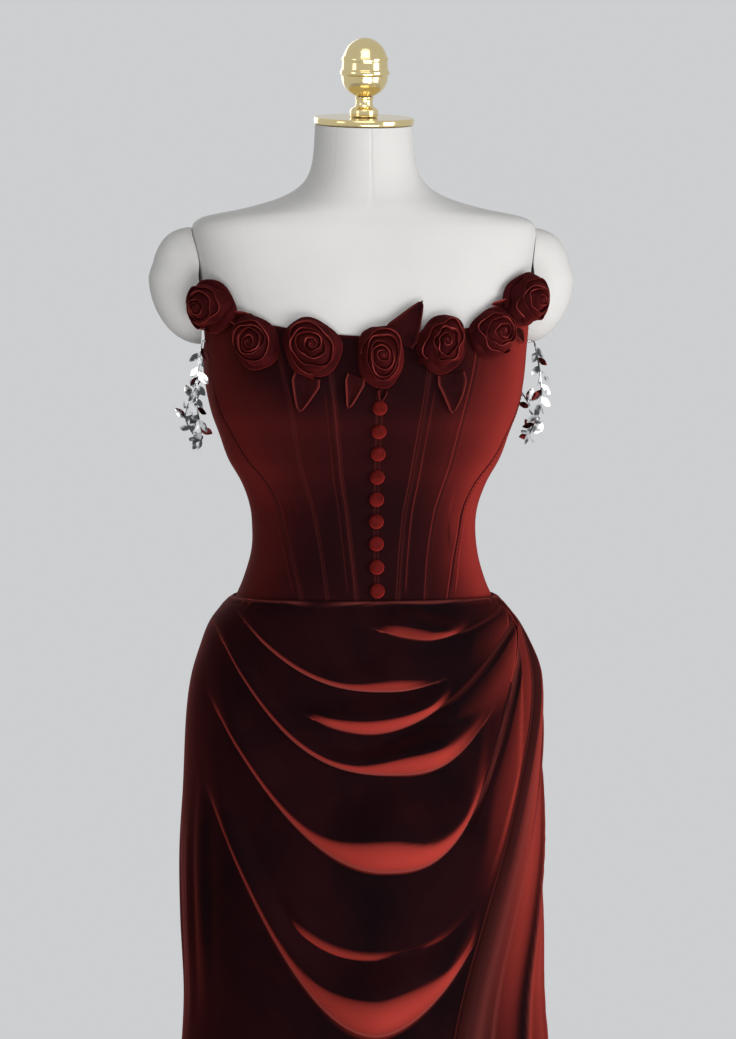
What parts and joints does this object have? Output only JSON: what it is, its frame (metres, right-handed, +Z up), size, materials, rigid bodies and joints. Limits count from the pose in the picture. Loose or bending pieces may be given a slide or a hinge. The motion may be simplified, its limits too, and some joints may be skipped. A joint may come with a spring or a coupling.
{
  "type": "velvet mermaid dress on a dress form",
  "caption": "Strapless velvet gown with a boned corset bodice, rolled roses at the neckline and a draped, flared skirt, on a limbless dress form with a stand.",
  "frame": {"origin": "middle of the base's underside, on the floor", "axes": "+Z up, -Y out of the front of the gown, +X to the right of a viewer who faces it"},
  "size_m": [0.7413, 0.6517, 1.5646],
  "materials": {
    "velvet": "deep red velvet with a short sheening nap",
    "flower_velvet": "deep red velvet, rolled into roses and cut as leaves",
    "form_cover": "matte white cover cloth, drawn smooth",
    "brass": "polished pale gold",
    "silver": "mirror-bright silver leaves on a fine wire"
  },
  "bodies": {
    "root": {"form_torso": "form_cover", "form_cap_left": "form_cover", "form_cap_right": "form_cover", "neck_plate": "brass", "finial_stem": "brass", "finial_ball": "brass", "stand_pole": "brass", "stand_base": "brass", "bodice_front_left": "velvet", "bodice_front_right": "velvet", "bodice_middle_left": "velvet", "bodice_middle_right": "velvet", "bodice_side_front_left": "velvet", "bodice_side_front_right": "velvet", "bodice_side_left": "velvet", "bodice_side_right": "velvet", "bodice_side_back_left": "velvet", "bodice_side_back_right": "velvet", "bodice_back_left": "velvet", "bodice_back_right": "velvet", "skirt_front_drape": "velvet", "skirt_cascade": "velvet", "skirt_back_right": "velvet", "skirt_back_left": "velvet", "rose_1": "flower_velvet", "rose_2": "flower_velvet", "rose_3": "flower_velvet", "rose_4": "flower_velvet", "rose_5": "flower_velvet", "rose_6": "flower_velvet", "rose_7": "flower_velvet", "leaf_1": "flower_velvet", "leaf_2": "flower_velvet", "leaf_3": "flower_velvet", "leaf_4": "flower_velvet", "leaf_5": "flower_velvet", "leaf_6": "flower_velvet", "leaf_7": "flower_velvet", "leaf_8": "flower_velvet", "button_1": "velvet", "button_2": "velvet", "button_3": "velvet", "button_4": "velvet", "button_5": "velvet", "button_6": "velvet", "button_7": "velvet", "button_8": "velvet", "button_9": "velvet", "leaf_chain_left": "silver", "leaf_chain_right": "silver"}
  },
  "joints": []
}
